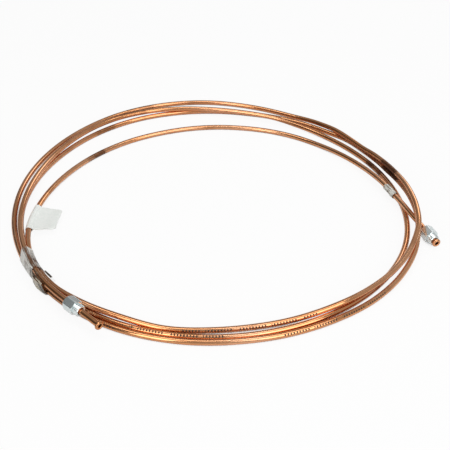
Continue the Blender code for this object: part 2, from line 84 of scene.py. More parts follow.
# %% The winding
PIPE_RADIUS = 0.002375
BORE_RADIUS = 0.001675
LANE = 0.00505
COIL_RADIUS = 0.1750
COIL_CENTRE = Vector((0.00094, 0.00033, 0.0))
RUN_A = 0.0288
RUN_B = 0.0429
WINDING = [
    # End A comes in under the second and first turn and over the third turn
    (-13.8, 0.75, 0.95),
    (-10.5, -0.53, 1.01),
    (-5.0, -2.14, 1.06),
    (0.0, -3.33, 1.06),
    (6.0, -4.34, 1.03),
    (18.0, -5.96, 0.72),
    (32.0, -7.26, 0.30),
    # Inner back run, alone on the floor
    (48.0, -8.28, 0.00),
    (66.0, -9.14, 0.00),
    (84.0, -9.59, 0.00),
    (102.0, -9.40, 0.00),
    (120.0, -8.71, 0.00),
    (136.0, -7.48, 0.00),
    (150.0, -6.20, 0.06),
    # It climbs through the label on to the bundle
    (164.0, -4.67, 0.13),
    (176.0, -3.15, 0.24),
    (186.0, -1.82, 0.42),
    (196.0, -0.42, 0.75),
    (204.0, 0.45, 1.17),
    (212.0, 1.05, 1.21),
    (223.0, 1.21, 1.21),
    (232.0, 0.68, 1.12),
    # Inner front run, down on the floor and up again over the third turn
    (244.0, -0.35, 0.59),
    (256.0, -0.84, 0.09),
    (268.0, -1.57, 0.00),
    (280.0, -1.87, 0.03),
    (290.0, -1.64, 0.24),
    (297.0, -1.25, 0.61),
    (303.0, -0.79, 0.98),
    (313.0, -0.26, 1.11),
    (323.0, 0.26, 1.31),
    # Top of the stack at the right, over the second turn and end A
    (332.0, 0.72, 2.15),
    (340.0, 0.67, 2.83),
    (349.0, -0.04, 3.06),
    (358.0, -0.99, 3.02),
    (370.0, -2.16, 2.48),
    (381.0, -2.74, 1.79),
    (391.0, -2.88, 1.08),
    (401.0, -2.68, 1.11),
    # Outermost back run
    (412.0, -1.82, 0.43),
    (426.0, -1.45, 0.00),
    (440.0, -0.51, 0.00),
    (455.0, 0.86, 0.00),
    (470.0, 1.87, 0.00),
    (490.0, 2.53, 0.00),
    (520.0, 2.41, 0.04),
    # Outer floor place in the bundle
    (545.0, 2.16, 0.15),
    (562.0, 2.00, 0.17),
    (583.0, 1.86, 0.17),
    (590.0, 1.77, 0.08),
    # Outermost front run
    (600.0, 1.63, 0.00),
    (620.0, 1.12, 0.00),
    (640.0, 0.70, 0.00),
    (660.0, 0.83, 0.00),
    (674.0, 1.24, 0.11),
    # Over end A and under the first turn
    (684.0, 1.42, 0.49),
    (692.0, 1.34, 1.10),
    (700.0, 0.80, 1.80),
    (708.0, 0.17, 2.01),
    (716.0, -0.70, 1.97),
    (726.0, -1.73, 1.55),
    (736.0, -2.40, 0.96),
    (746.0, -2.31, 0.27),
    (756.0, -2.14, 0.00),
    (768.0, -2.94, 0.00),
    # Middle back run, which passes under the fourth turn near 795
    (780.0, -3.28, 0.00),
    (796.0, -3.53, 0.00),
    (812.0, -3.07, 0.00),
    (828.0, -2.26, 0.00),
    (844.0, -1.30, 0.00),
    (860.0, -0.63, 0.00),
    (876.0, -0.09, 0.00),
    # Inner floor place in the bundle
    (892.0, 0.48, 0.05),
    (908.0, 0.90, 0.16),
    (922.0, 0.97, 0.17),
    (943.0, 0.83, 0.17),
    (951.0, 0.74, 0.07),
    # Middle front run, then the inner pass at the right under end A
    (960.0, 0.61, 0.00),
    (980.0, 0.10, 0.00),
    (1000.0, -0.33, 0.00),
    (1020.0, -0.43, 0.00),
    (1040.0, -0.44, 0.00),
    (1056.0, -0.70, 0.00),
    (1070.0, -1.40, 0.00),
    (1082.0, -2.33, 0.00),
    (1095.0, -3.25, 0.00),
    (1110.0, -4.12, 0.00),
    # Over the third turn and on top of it along the back left
    (1124.0, -4.67, 0.07),
    (1138.0, -5.03, 0.41),
    (1150.0, -5.18, 0.93),
    (1162.0, -4.85, 1.00),
    (1174.0, -3.89, 1.01),
    (1186.0, -2.48, 1.01),
    (1198.0, -1.10, 1.03),
    (1210.0, -0.14, 1.08),
    (1225.0, 0.22, 1.06),
    # Top place in the bundle and out to end B
    (1240.0, 0.16, 1.06),
    (1252.0, 0.21, 1.19),
    (1264.0, 0.45, 1.44),
    (1276.0, 0.90, 1.80),
    (1288.0, 1.45, 2.02),
    (1296.0, 1.85, 2.04),
    (1302.0, 2.12, 1.98),
    (1306.8, 2.18, 1.93),
    (1309.9, 2.25, 1.90),
]


def table_slopes():
    """Slope of lane and layer at each row, level where a value turns back."""
    slopes = []
    last = len(WINDING) - 1
    for i in range(last + 1):
        pair = []
        for column in (1, 2):
            if 0 < i < last:
                before = WINDING[i][0] - WINDING[i - 1][0]
                after = WINDING[i + 1][0] - WINDING[i][0]
                rise_before = (WINDING[i][column] - WINDING[i - 1][column]) / before
                rise_after = (WINDING[i + 1][column] - WINDING[i][column]) / after
                slope = (after * rise_before + before * rise_after) / (before + after)
                if rise_before * rise_after <= 0.0:
                    slope = 0.0
                limit = 3.0 * min(abs(rise_before), abs(rise_after))
                pair.append(max(-limit, min(limit, slope)))
            else:
                a = WINDING[max(i - 1, 0)]
                b = WINDING[min(i + 1, last)]
                pair.append((b[column] - a[column]) / (b[0] - a[0]))
        slopes.append(pair)
    return slopes


SLOPES = table_slopes()


def radius_and_height(turned):
    """Smooth reading of the winding table at an angle in degrees."""
    i = 0
    while i < len(WINDING) - 2 and WINDING[i + 1][0] <= turned:
        i += 1
    width = WINDING[i + 1][0] - WINDING[i][0]
    s = (turned - WINDING[i][0]) / width
    start = 2.0 * s ** 3 - 3.0 * s ** 2 + 1.0
    leave = (s ** 3 - 2.0 * s ** 2 + s) * width
    stop = 3.0 * s ** 2 - 2.0 * s ** 3
    arrive = (s ** 3 - s ** 2) * width
    lane, layer = [
        WINDING[i][column] * start + SLOPES[i][column - 1] * leave
        + WINDING[i + 1][column] * stop + SLOPES[i + 1][column - 1] * arrive
        for column in (1, 2)
    ]
    return COIL_RADIUS + lane * LANE, PIPE_RADIUS + layer * LANE


def place(turned, radius, height):
    angle = math.radians(turned)
    return COIL_CENTRE + Vector((radius * math.cos(angle), radius * math.sin(angle), height))


def on_pipe(turned):
    radius, height = radius_and_height(turned)
    return place(turned, radius, height)


TURNED_FROM = WINDING[0][0]
TURNED_TO = WINDING[-1][0]


def leaving(near, middle, far):
    """Direction in which a straight run leaves the winding, without a kink."""
    outer = (near - middle).normalized()
    inner = (middle - far).normalized()
    return (outer * 1.5 - inner * 0.5).normalized()


START_A = on_pipe(TURNED_FROM)
START_B = on_pipe(TURNED_TO)
OUT_A = leaving(START_A, on_pipe(TURNED_FROM + 2.0), on_pipe(TURNED_FROM + 4.0))
OUT_B = leaving(START_B, on_pipe(TURNED_TO - 2.0), on_pipe(TURNED_TO - 4.0))
FACE_A = START_A + OUT_A * RUN_A
FACE_B = START_B + OUT_B * RUN_B
print("flare faces at", tuple(FACE_A), tuple(FACE_B))

# %% [markdown]
# A body with an origin at zero, unturned and unscaled, is what the export expects, so
# one helper makes every mesh object that way, shades it smooth and links it.

# %% Object helper


def make_object(name, mesh, material=None, sharp=40.0):
    mesh.shade_smooth()
    if sharp is not None:
        mesh.set_sharp_from_angle(angle=math.radians(sharp))
    made = bpy.data.objects.new(name, mesh)
    if material is not None:
        mesh.materials.clear()
        mesh.materials.append(material)
    SCENE.collection.objects.link(made)
    return made


def mesh_from(name, points, faces):
    mesh = bpy.data.meshes.new(name)
    mesh.from_pydata(points, [], faces)
    work = bmesh.new()
    work.from_mesh(mesh)
    bmesh.ops.recalc_face_normals(work, faces=work.faces)
    work.to_mesh(mesh)
    work.free()
    return mesh


def finished(holder, name, material, sharp=40.0):
    """Turn a holder with modifiers into a plain mesh object and remove the holder."""
    bpy.context.view_layer.update()
    graph = bpy.context.evaluated_depsgraph_get()
    mesh = bpy.data.meshes.new_from_object(holder.evaluated_get(graph), depsgraph=graph)
    mesh.name = name
    bpy.data.objects.remove(holder, do_unlink=True)
    return make_object(name, mesh, material, sharp)


print("helpers for plain mesh objects are ready")

# %% [markdown]
# A material is a tree of nodes, and most of its nodes are small sums.  A few helpers
# make such a node and link its inputs in one line, so that the materials below read
# like formulas.  An input that is a number is set, and one that is a socket is linked.

# %% Node helpers


def new_group(name, inputs, outputs):
    group = bpy.data.node_groups.new(name, "ShaderNodeTree")
    for socket_name, kind, value in inputs:
        socket = group.interface.new_socket(socket_name, in_out="INPUT", socket_type=kind)
        if value is not None:
            socket.default_value = value
    for socket_name, kind in outputs:
        group.interface.new_socket(socket_name, in_out="OUTPUT", socket_type=kind)
    return group, group.nodes.new("NodeGroupInput"), group.nodes.new("NodeGroupOutput")


def add(tree, kind, **settings):
    node = tree.nodes.new(kind)
    for key, value in settings.items():
        setattr(node, key, value)
    return node


def math_node(tree, operation, first, second=None, third=None, clamp=False):
    node = add(tree, "ShaderNodeMath", operation=operation, use_clamp=clamp)
    for i, value in enumerate((first, second, third)):
        if value is None:
            continue
        if isinstance(value, (int, float)):
            node.inputs[i].default_value = value
        else:
            tree.links.new(value, node.inputs[i])
    return node.outputs[0]


def ramp(tree, value, low, high, out_low=0.0, out_high=1.0):
    node = add(tree, "ShaderNodeMapRange", interpolation_type="SMOOTHSTEP")
    tree.links.new(value, node.inputs["Value"])
    node.inputs["From Min"].default_value = low
    node.inputs["From Max"].default_value = high
    node.inputs["To Min"].default_value = out_low
    node.inputs["To Max"].default_value = out_high
    return node.outputs["Result"]


def times(tree, first, second):
    return math_node(tree, "MULTIPLY", first, second)


def repeat(tree, value, count):
    """Saw that climbs from 0 to 1, count times for each unit of the value."""
    return math_node(tree, "FRACT", times(tree, value, count))


def strongest(tree, masks):
    best = masks[0]
    for mask in masks[1:]:
        best = math_node(tree, "MAXIMUM", best, mask)
    return best


def grey(level):
    return (level, level, level)


def noise_node(tree, vector, scale, detail=3.0, roughness=0.55):
    node = add(tree, "ShaderNodeTexNoise")
    tree.links.new(vector, node.inputs["Vector"])
    node.inputs["Scale"].default_value = scale
    node.inputs["Detail"].default_value = detail
    node.inputs["Roughness"].default_value = roughness
    return node.outputs["Fac"]


def mix_colour(tree, factor, first, second, blend="MIX"):
    node = add(tree, "ShaderNodeMix", data_type="RGBA", blend_type=blend)
    if isinstance(factor, (int, float)):
        node.inputs[0].default_value = factor
    else:
        tree.links.new(factor, node.inputs[0])
    for socket, value in ((node.inputs[6], first), (node.inputs[7], second)):
        if isinstance(value, tuple):
            socket.default_value = (value[0], value[1], value[2], 1.0)
        else:
            tree.links.new(value, socket)
    return node.outputs[2]


def new_material(name):
    made = bpy.data.materials.new(name)
    made.use_nodes = True
    return made, made.node_tree, made.node_tree.nodes["Principled BSDF"]


def use_group(tree, group, **values):
    node = add(tree, "ShaderNodeGroup", node_tree=group)
    for key, value in values.items():
        node.inputs[key.replace("_", " ")].default_value = value
    return node


def bump(tree, height, strength, distance, shader):
    node = add(tree, "ShaderNodeBump")
    node.inputs["Strength"].default_value = strength
    node.inputs["Distance"].default_value = distance
    tree.links.new(height, node.inputs["Height"])
    tree.links.new(node.outputs["Normal"], shader.inputs["Normal"])


print("node helpers are ready")

# %% [markdown]
# Materials share a few effects, so these are node groups with named inputs.  "Tube
# grain" gives the fine drawn streaks and mottled tarnish of bare copper tube, from the
# coordinates along and round the tube.  The streaks change quickly round the tube and
# slowly along it, as marks of drawing do.  "Fine wear" gives soft cloudy variation for
# plating, paper and tape from Object coordinates.

# %% Shared shader groups
STREAKS_ALONG = 12.0
STREAKS_ROUND = 2.4
STREAK_SHARE = 0.7
MOTTLE_DETAIL = 3.0
MOTTLE_ROUGHNESS = 0.55


def make_tube_grain():
    group, given, out = new_group(
        "Tube grain",
        [
            ("Along", "NodeSocketFloat", 0.0),
            ("Spoke X", "NodeSocketFloat", 0.0),
            ("Spoke Y", "NodeSocketFloat", 1.0),
            ("Streak scale", "NodeSocketFloat", 1.0),
            ("Mottle scale", "NodeSocketFloat", 60.0),
        ],
        [("Streaks", "NodeSocketFloat"), ("Mottle", "NodeSocketFloat"), ("Height", "NodeSocketFloat")],
    )
    streak_place = add(group, "ShaderNodeCombineXYZ")
    densities = (("Along", STREAKS_ALONG), ("Spoke X", STREAKS_ROUND), ("Spoke Y", STREAKS_ROUND))
    for i, (name, density) in enumerate(densities):
        group.links.new(times(group, given.outputs[name], density), streak_place.inputs[i])
    scaled = add(group, "ShaderNodeVectorMath", operation="SCALE")
    group.links.new(streak_place.outputs[0], scaled.inputs[0])
    group.links.new(given.outputs["Streak scale"], scaled.inputs["Scale"])
    streaks = noise_node(group, scaled.outputs[0], 1.0, 2.0, 0.5)
    spot = add(group, "ShaderNodeTexCoord")
    mottle = add(group, "ShaderNodeTexNoise")
    group.links.new(spot.outputs["Object"], mottle.inputs["Vector"])
    group.links.new(given.outputs["Mottle scale"], mottle.inputs["Scale"])
    mottle.inputs["Detail"].default_value = MOTTLE_DETAIL
    mottle.inputs["Roughness"].default_value = MOTTLE_ROUGHNESS
    group.links.new(streaks, out.inputs["Streaks"])
    group.links.new(mottle.outputs["Fac"], out.inputs["Mottle"])
    streak_height = times(group, streaks, STREAK_SHARE)
    mottle_height = times(group, mottle.outputs["Fac"], 1.0 - STREAK_SHARE)
    height = math_node(group, "ADD", streak_height, mottle_height)
    group.links.new(height, out.inputs["Height"])
    return group


def make_fine_wear():
    group, given, out = new_group(
        "Fine wear",
        [("Scale", "NodeSocketFloat", 400.0), ("Softness", "NodeSocketFloat", 0.5)],
        [("Cloud", "NodeSocketFloat"), ("Grain", "NodeSocketFloat")],
    )
    spot = add(group, "ShaderNodeTexCoord")
    for out_name, share, detail in (("Cloud", 0.25, 3.0), ("Grain", 1.0, 5.0)):
        texture = add(group, "ShaderNodeTexNoise")
        group.links.new(spot.outputs["Object"], texture.inputs["Vector"])
        group.links.new(times(group, given.outputs["Scale"], share), texture.inputs["Scale"])
        texture.inputs["Detail"].default_value = detail
        group.links.new(given.outputs["Softness"], texture.inputs["Roughness"])
        group.links.new(texture.outputs["Fac"], out.inputs[out_name])
    return group


TUBE_GRAIN = make_tube_grain()
FINE_WEAR = make_fine_wear()
print("shader groups", TUBE_GRAIN.name, "and", FINE_WEAR.name)

# %% [markdown]
# Copper-nickel brake tube is drawn, so it is bright along its length with very fine
# streaks, and its colour is uneven: pinkish in some stretches, brown to nearly black in
# a few.  Two whole sides of the coil also get painted shade, a brown over every pass.
# The angle turned by the winding is stored on every point, so the dark stretches and
# the shaded sides are placed by that angle.

# %% Dark stretches, and painted shade on two sides
# Stretches along the tube that are darkened, brown to nearly black.
DARK_STRETCHES = [
    # middle of the stretch in degrees turned, half its length, strength
    (150.0, 4.6, 0.90),
    (176.0, 2.0, 0.25),
    (372.0, 5.0, 0.85),
    (731.0, 5.5, 0.95),
    (1098.5, 4.8, 1.00),
    (1140.0, 6.0, 0.35),
    (478.0, 5.0, 0.45),
    (855.0, 4.0, 0.45),
    (1203.0, 5.0, 0.40),
]
DARK_STRETCH_EDGE = (1.08, 0.82)
# Sides of the coil that get painted shade, on every pass.
SHADED_SIDES = [
    # middle of the side of the coil in degrees, half its width, strength
    (228.0, 26.0, 0.36),
    (22.0, 26.0, 0.18),
]
SIDE_SHADE_EDGE = (1.0, 0.35)


def stretch(tree, value, middle, half, strength, edge):
    """Mask round a middle: nothing past the outer edge, full inside the inner one."""
    away = math_node(tree, "ABSOLUTE", math_node(tree, "SUBTRACT", value, middle))
    outer, inner = edge
    return ramp(tree, away, half * outer, half * inner, 0.0, strength)


# The second count is of the two sides that carry painted shade.
print("stretches of tarnish", len(DARK_STRETCHES), "and handled sides", len(SHADED_SIDES))

# %% [markdown]
# Real tube carries a line of ink marking along its outer side.  Here a row of plain,
# evenly spaced ticks stands in its place, in groups with a short gap between them.  The
# spoke stored on every point says which way it faces, so the line keeps its height.

# %% Ink ticks
INK_STRETCHES = [
    # from and to in degrees turned, and how far up the outer side the ticks sit
    (260.5, 296.0, 34.0),
    (534.0, 562.0, 66.0),
    (599.0, 604.5, 40.0),
    (644.5, 676.5, 44.0),
    (967.5, 991.0, 58.0),
]
INK_HALF = 0.33
TICKS_PER_METRE = 420.0
TICK_SHARE = 0.50
GROUPS_PER_METRE = 40.0
GROUP_GAP = 0.16


def ink_mask(tree, turned, along, spoke):
    lines = []
    for first, last, lift in INK_STRETCHES:
        rise = math.radians(lift)
        inside = math_node(tree, "COMPARE", turned, 0.5 * (first + last), 0.5 * (last - first))
        facing = times(tree, spoke.outputs[0], math.cos(rise))
        facing = math_node(tree, "MULTIPLY_ADD", spoke.outputs[1], -math.sin(rise), facing)
        lines.append(times(tree, inside, math_node(tree, "GREATER_THAN", facing, math.cos(INK_HALF))))
    tick = math_node(tree, "LESS_THAN", repeat(tree, along, TICKS_PER_METRE), TICK_SHARE)
    gap = math_node(tree, "GREATER_THAN", repeat(tree, along, GROUPS_PER_METRE), GROUP_GAP)
    return times(tree, times(tree, strongest(tree, lines), tick), gap)


print("stretches of ticks", len(INK_STRETCHES))

# %% [markdown]
# The copper itself is one metal shader.  Its colour drifts slowly from deep to pinkish,
# the grain darkens it a little, the painted shade browns two sides of the coil, and the
# dark stretches and the ink bring the black.  Ink and the dark stretches are also duller
# than bare metal, so the same masks raise the roughness.

# %% Copper material
COPPER_DEEP = (0.80, 0.37, 0.165)
COPPER_PINK = (0.86, 0.45, 0.25)
COPPER_BROWN = (0.50, 0.20, 0.080)
# Brown of the painted shade on two sides of the coil.
SIDE_SHADE_BROWN = (0.36, 0.145, 0.060)
STRETCH_BLACK = (0.10, 0.035, 0.015)
INK_BLACK = (0.02, 0.014, 0.012)
DRIFT_SCALE = 11.0


def named(tree, name, output="Fac"):
    """An attribute that is stored on the surface."""
    return add(tree, "ShaderNodeAttribute", attribute_name=name).outputs[output]


def copper_colour(tree, grain, drift, turned, dark, ink):
    colour = mix_colour(tree, ramp(tree, drift, 0.38, 0.62), COPPER_DEEP, COPPER_PINK)
    for output, low, high, share in (("Mottle", 0.45, 0.75, 0.45), ("Streaks", 0.52, 0.78, 0.35)):
        wear_and_shade = ramp(tree, grain.outputs[output], low, high, 0.0, share)
        colour = mix_colour(tree, wear_and_shade, colour, COPPER_BROWN)
    plan = math_node(tree, "FRACT", math_node(tree, "DIVIDE", turned, 360.0))
    plan = times(tree, plan, 360.0)
    # Painted shade: every pass on two sides of the coil is browned.
    for middle, half, strength in SHADED_SIDES:
        wear_and_shade = stretch(tree, plan, middle, half, strength, SIDE_SHADE_EDGE)
        colour = mix_colour(tree, wear_and_shade, colour, SIDE_SHADE_BROWN)
    colour = mix_colour(tree, dark, colour, STRETCH_BLACK)
    return mix_colour(tree, times(tree, ink, 0.95), colour, INK_BLACK)


def copper_material():
    made, tree, shader = new_material("copper_tube")
    turned = named(tree, "turned")
    along = named(tree, "along")
    spoke = add(tree, "ShaderNodeSeparateXYZ")
    tree.links.new(named(tree, "spoke", "Vector"), spoke.inputs[0])
    grain = use_group(tree, TUBE_GRAIN, Streak_scale=1.0, Mottle_scale=55.0)
    for value, name in ((along, "Along"), (spoke.outputs[0], "Spoke X"), (spoke.outputs[1], "Spoke Y")):
        tree.links.new(value, grain.inputs[name])
    spot = add(tree, "ShaderNodeTexCoord").outputs["Object"]
    drift = noise_node(tree, spot, DRIFT_SCALE, 2.0)
    dark = strongest(tree, [stretch(tree, turned, *row, DARK_STRETCH_EDGE) for row in DARK_STRETCHES])
    dark = times(tree, dark, ramp(tree, grain.outputs["Mottle"], 0.30, 0.62, 0.45, 1.0))
    ink = ink_mask(tree, turned, along, spoke)
    colour = copper_colour(tree, grain, drift, turned, dark, ink)
    tree.links.new(colour, shader.inputs["Base Color"])
    shade = math_node(tree, "MAXIMUM", times(tree, dark, 0.9), ink)
    polish = ramp(tree, drift, 0.35, 0.65, 0.12, 0.20)
    soft = math_node(tree, "ADD", ramp(tree, shade, 0.0, 1.0, 0.0, 0.26), polish)
    tree.links.new(soft, shader.inputs["Roughness"])
    tree.links.new(ramp(tree, ink, 0.0, 1.0, 1.0, 0.1), shader.inputs["Metallic"])
    bump(tree, grain.outputs["Height"], 0.30, 0.00003, shader)
    return made


COPPER = copper_material()
print("material", COPPER.name)

# %% [markdown]
# The pipe's shape follows a path, so Geometry Nodes sweep it: two circles, the wall's
# outside and its bore, run along one curve.  The curve carries the length along it and
# the angle turned, which the sweep hands on to the surface for the material to read.

# %% Sweep tree


def sweep_tree():
    tree = bpy.data.node_groups.new("Swept tube", "GeometryNodeTree")
    for socket_name, kind, value in (
        ("Geometry", "NodeSocketGeometry", None),
        ("Path", "NodeSocketObject", None),
        ("Outside radius", "NodeSocketFloat", 0.002),
        ("Bore radius", "NodeSocketFloat", 0.001),
        ("Sides", "NodeSocketInt", 24),
        ("Surface", "NodeSocketMaterial", None),
    ):
        socket = tree.interface.new_socket(socket_name, in_out="INPUT", socket_type=kind)
        if value is not None:
            socket.default_value = value
    tree.interface.new_socket("Geometry", in_out="OUTPUT", socket_type="NodeSocketGeometry")
    given = tree.nodes.new("NodeGroupInput")
    out = tree.nodes.new("NodeGroupOutput")
    info = add(tree, "GeometryNodeObjectInfo")
    tree.links.new(given.outputs["Path"], info.inputs["Object"])
    chain = add(tree, "GeometryNodeMeshToCurve")
    tree.links.new(info.outputs["Geometry"], chain.inputs["Mesh"])
    normal = add(tree, "GeometryNodeSetCurveNormal", mode="Z_UP")
    tree.links.new(chain.outputs["Curve"], normal.inputs["Curve"])
    wall = add(tree, "GeometryNodeJoinGeometry")
    for socket_name, turn_round in (("Outside radius", False), ("Bore radius", True)):
        circle = add(tree, "GeometryNodeCurvePrimitiveCircle")
        tree.links.new(given.outputs["Sides"], circle.inputs["Resolution"])
        tree.links.new(given.outputs[socket_name], circle.inputs["Radius"])
        keep = add(tree, "GeometryNodeStoreNamedAttribute", data_type="FLOAT_VECTOR", domain="POINT")
        keep.inputs["Name"].default_value = "spoke"
        spot = add(tree, "GeometryNodeInputPosition")
        unit = add(tree, "ShaderNodeVectorMath", operation="NORMALIZE")
        tree.links.new(spot.outputs["Position"], unit.inputs[0])
        tree.links.new(circle.outputs["Curve"], keep.inputs["Geometry"])
        tree.links.new(unit.outputs["Vector"], keep.inputs["Value"])
        ready = keep.outputs["Geometry"]
        if turn_round:
            back = add(tree, "GeometryNodeReverseCurve")
            tree.links.new(ready, back.inputs["Curve"])
            ready = back.outputs["Curve"]
        tree.links.new(ready, wall.inputs["Geometry"])
    sweep = add(tree, "GeometryNodeCurveToMesh")
    tree.links.new(normal.outputs["Curve"], sweep.inputs["Curve"])
    tree.links.new(wall.outputs["Geometry"], sweep.inputs["Profile Curve"])
    real = add(tree, "GeometryNodeRealizeInstances")
    tree.links.new(sweep.outputs["Mesh"], real.inputs["Geometry"])
    paint = add(tree, "GeometryNodeSetMaterial")
    tree.links.new(real.outputs["Geometry"], paint.inputs["Geometry"])
    tree.links.new(given.outputs["Surface"], paint.inputs["Material"])
    tree.links.new(paint.outputs["Geometry"], out.inputs["Geometry"])
    return tree


SWEEP = sweep_tree()
print("node tree", SWEEP.name, "with", len(SWEEP.nodes), "nodes")

# %% [markdown]
# The tree works as a modifier on an empty mesh.  Its inputs are set by identifier,
# because a name may occur twice, and before the object is evaluated for the first time.

# %% Holder for a node tree


def with_nodes(name, tree, values):
    """Empty holder with a node modifier; inputs are set by identifier before evaluation."""
    holder = bpy.data.objects.new(name, bpy.data.meshes.new(name))
    SCENE.collection.objects.link(holder)
    modifier = holder.modifiers.new("nodes", "NODES")
    modifier.node_group = tree
    for item in tree.interface.items_tree:
        if item.item_type == "SOCKET" and item.in_out == "INPUT" and item.name in values:
            modifier[item.identifier] = values[item.name]
    return holder


print("holder helper is ready")

# %% [markdown]
# The path is a chain of edges with a point about every 4 mm.  Each point carries the
# angle turned and the length along, and the sweep hands both on to the surface.  Its two
# ends stop short of the flares, which are added to the swept wall afterwards.

# %% The path of the pipe
FLARE_ROOM = 0.0040
POINTS_PER_DEGREE = 0.80
RUN_A_STEPS = 9
RUN_B_STEPS = 13


def path_rows():
    """Rows of place and degrees turned, from behind flare A to behind flare B."""
    rows = []
    for i in range(RUN_A_STEPS):
        depth = FLARE_ROOM + (RUN_A - FLARE_ROOM) * i / RUN_A_STEPS
        rows.append((FACE_A - OUT_A * depth, TURNED_FROM - RUN_A_STEPS + i))
    count = round((TURNED_TO - TURNED_FROM) * POINTS_PER_DEGREE)
    for i in range(count + 1):
        turned = TURNED_FROM + (TURNED_TO - TURNED_FROM) * i / count
        rows.append((on_pipe(turned), turned))
    for i in range(1, RUN_B_STEPS + 1):
        rows.append((START_B + OUT_B * (RUN_B - FLARE_ROOM) * i / RUN_B_STEPS, TURNED_TO + i))
    return rows


def path_chain():
    rows = path_rows()
    mesh = bpy.data.meshes.new("pipe_path")
    mesh.from_pydata([row[0] for row in rows], [(i, i + 1) for i in range(len(rows) - 1)], [])
    along = [FLARE_ROOM]
    for i in range(1, len(rows)):
        along.append(along[-1] + (rows[i][0] - rows[i - 1][0]).length)
    for name, values in (("turned", [row[1] for row in rows]), ("along", along)):
        mesh.attributes.new(name, "FLOAT", "POINT").data.foreach_set("value", values)
    made = bpy.data.objects.new("pipe_path", mesh)
    SCENE.collection.objects.link(made)
    print("path points", len(rows), "length", round(along[-1] + FLARE_ROOM, 4))
    return made

# %% [markdown]
# The ends of a brake pipe are flared: the tube itself is pressed into a bead, which the
# nut draws against its seat.  The rows give the outline of such a flare, outside and in
# its mouth.  Two helpers find the open rims of a swept tube and carry one over the rows.

# %% Outline of a flare
FLARE_ROWS = [
    # distance from the face, outside radius
    (0.00300, 0.002375),
    (0.00282, 0.00250),
    (0.00262, 0.00284),
    (0.00240, 0.00322),
    (0.00212, 0.00352),
    (0.00180, 0.00366),
    (0.00140, 0.00370),
    (0.00100, 0.00370),
    (0.00066, 0.00362),
    (0.00038, 0.00344),
    (0.00016, 0.00318),
    (0.00003, 0.00292),
    (0.00000, 0.00280),
]
MOUTH_ROWS = [
    (0.00090, 0.001675),
    (0.00050, 0.001700),
    (0.00020, 0.001820),
    (0.00004, 0.002000),
    (0.00000, 0.002130),
]


def rim_loops(work):
    """Open rims, each as a list of edges."""
    free = {edge for edge in work.edges if len(edge.link_faces) == 1}
    loops = []
    while free:
        stack = [free.pop()]
        loop = set(stack)
        while stack:
            edge = stack.pop()
            for vertex in edge.verts:
                for other in vertex.link_edges:
                    if other in free:
                        free.discard(other)
                        loop.add(other)
                        stack.append(other)
        loops.append(list(loop))
    return loops


def carry_rim(work, loop, face, out, rows):
    """Extrude one rim step by step to the given distances and radii."""
    for depth, radius in rows:
        made = bmesh.ops.extrude_edge_only(work, edges=loop)
        loop = [item for item in made["geom"] if isinstance(item, bmesh.types.BMEdge)]
        vertices = {vertex for edge in loop for vertex in edge.verts}
        centre = face - out * depth
        for vertex in vertices:
            spoke = vertex.co - face
            spoke -= out * spoke.dot(out)
            vertex.co = centre + spoke.normalized() * radius
    return loop


print("flare rows", len(FLARE_ROWS), "outside and", len(MOUTH_ROWS), "in the mouth")

# %% [markdown]
# The swept wall is open at both ends.  There bmesh goes on from the open rims: the
# outside rim is extruded over the bead of the flare, the bore rim to its mouth, and a
# bridge between the last two rims makes the flat face that seals.  So each flare is one
# piece with the pipe, as it is on a real one.

# %% The pipe with its flares
TUBE_SIDES = 24
END_REACH = 0.01


def add_flares(work):
    """Carry the open rims at both ends over their flares and close them."""
    for face, out in ((FACE_A, OUT_A), (FACE_B, OUT_B)):
        last = []
        for loop in rim_loops(work):
            corners = [vertex.co for edge in loop for vertex in edge.verts]
            middle = sum(corners, Vector()) / len(corners)
            if (middle - face).length > END_REACH:
                continue
            wide = (corners[0] - middle).length > 0.5 * (PIPE_RADIUS + BORE_RADIUS)
            last.extend(carry_rim(work, loop, face, out, FLARE_ROWS if wide else MOUTH_ROWS))
        bmesh.ops.bridge_loops(work, edges=last)


def print_spokes(mesh):
    """Tell which spoke the outermost points carry, to check the sides of the ticks."""
    directions = (("highest", 2, 1.0), ("leftmost", 0, -1.0), ("nearest", 1, -1.0))
    for what, axis, sign in directions:
        chosen = max(mesh.vertices, key=lambda vertex: sign * vertex.co[axis])
        spoke = mesh.attributes["spoke"].data[chosen.index].vector
        print(what, "point has the spoke", [round(part, 2) for part in spoke])


def make_pipe():
    path = path_chain()
    holder = with_nodes("coil_pipe", SWEEP, {
        "Path": path, "Outside radius": PIPE_RADIUS, "Bore radius": BORE_RADIUS,
        "Sides": TUBE_SIDES, "Surface": COPPER,
    })
    pipe = finished(holder, "coil_pipe", COPPER, sharp=None)
    bpy.data.objects.remove(path, do_unlink=True)
    mesh = pipe.data
    print("swept points", len(mesh.vertices), "kept", [item.name for item in mesh.attributes])
    work = bmesh.new()
    work.from_mesh(mesh)
    add_flares(work)
    bmesh.ops.recalc_face_normals(work, faces=work.faces)
    for face in work.faces:
        face.smooth = True
    work.to_mesh(mesh)
    work.free()
    print_spokes(mesh)
    print("pipe faces", len(mesh.polygons))
    return pipe


pipe = make_pipe()
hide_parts("pipe")
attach(pipe, "coil")

# %% [markdown]
# Each end of the pipe carries a male union nut, commonly of steel plated with bright
# zinc.  The plating is smooth and has a cool tint, soft clouds and a few darker grains,
# so it is one metal shader that the shared fine wear drives.

# %% Zinc plating
ZINC_SHADE = (0.80, 0.89, 0.89)
ZINC_BRIGHT = (0.93, 0.98, 0.98)
ZINC_GRAIN = (0.40, 0.45, 0.43)


